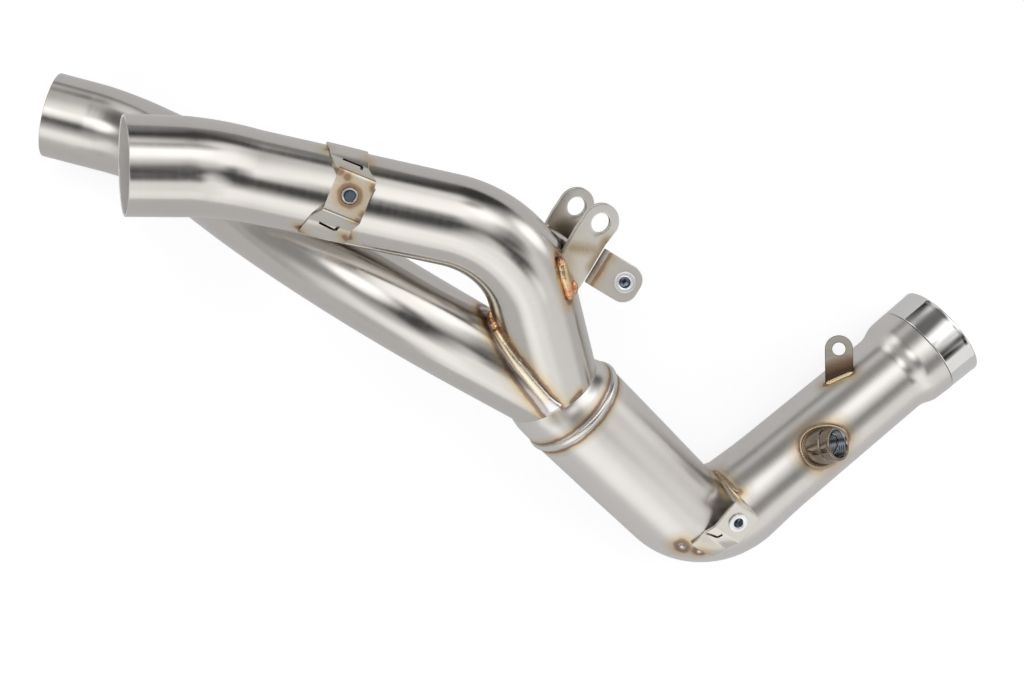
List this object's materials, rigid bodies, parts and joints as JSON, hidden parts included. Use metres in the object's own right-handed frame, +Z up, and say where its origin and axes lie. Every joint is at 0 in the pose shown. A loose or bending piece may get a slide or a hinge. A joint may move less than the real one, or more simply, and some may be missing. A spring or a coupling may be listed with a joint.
{
  "type": "motorcycle exhaust link pipe",
  "caption": "Bent stainless exhaust link pipe joining two header sockets into one outlet, with hanger ears, shield brackets and a sensor boss.",
  "frame": {"origin": "under the middle of the bounding box, on the surface that the pipe lies on", "axes": "+Z up out of that surface, +X from the inlet sockets toward the outlet, +Y toward the side the hanger ears point to"},
  "size_m": [0.6004, 0.311, 0.2],
  "materials": {
    "brushed_stainless": "brushed stainless tube with straw and brown heat tints by the welds",
    "bracket_stainless": "cut stainless sheet, lightly heat tinted",
    "polished_stainless": "polished stainless sleeve",
    "tinted_weld": "fused weld metal, gold to copper",
    "zinc_plate": "bright zinc plate",
    "turned_stainless": "turned stainless"
  },
  "bodies": {
    "root": {"front_inlet_pipe": "brushed_stainless", "rear_inlet_pipe": "brushed_stainless", "collector_collar": "brushed_stainless", "main_pipe": "brushed_stainless", "merge_spine_strip": "tinted_weld", "collar_joint_bead": "tinted_weld", "outlet_sleeve": "polished_stainless", "sensor_boss": "turned_stainless", "sensor_boss_weld": "tinted_weld", "front_saddle_bracket": "bracket_stainless", "front_saddle_nut": "zinc_plate", "front_saddle_weld_upper": "tinted_weld", "front_saddle_weld_lower": "tinted_weld", "bend_saddle_bracket": "bracket_stainless", "bend_saddle_nut": "zinc_plate", "bend_saddle_weld_upper": "tinted_weld", "bend_saddle_weld_lower": "tinted_weld", "hanger_bracket": "bracket_stainless", "hanger_weld": "tinted_weld", "nut_tab": "bracket_stainless", "nut_tab_nut": "zinc_plate", "outlet_tab": "bracket_stainless", "outlet_tab_weld": "tinted_weld"}
  },
  "joints": []
}
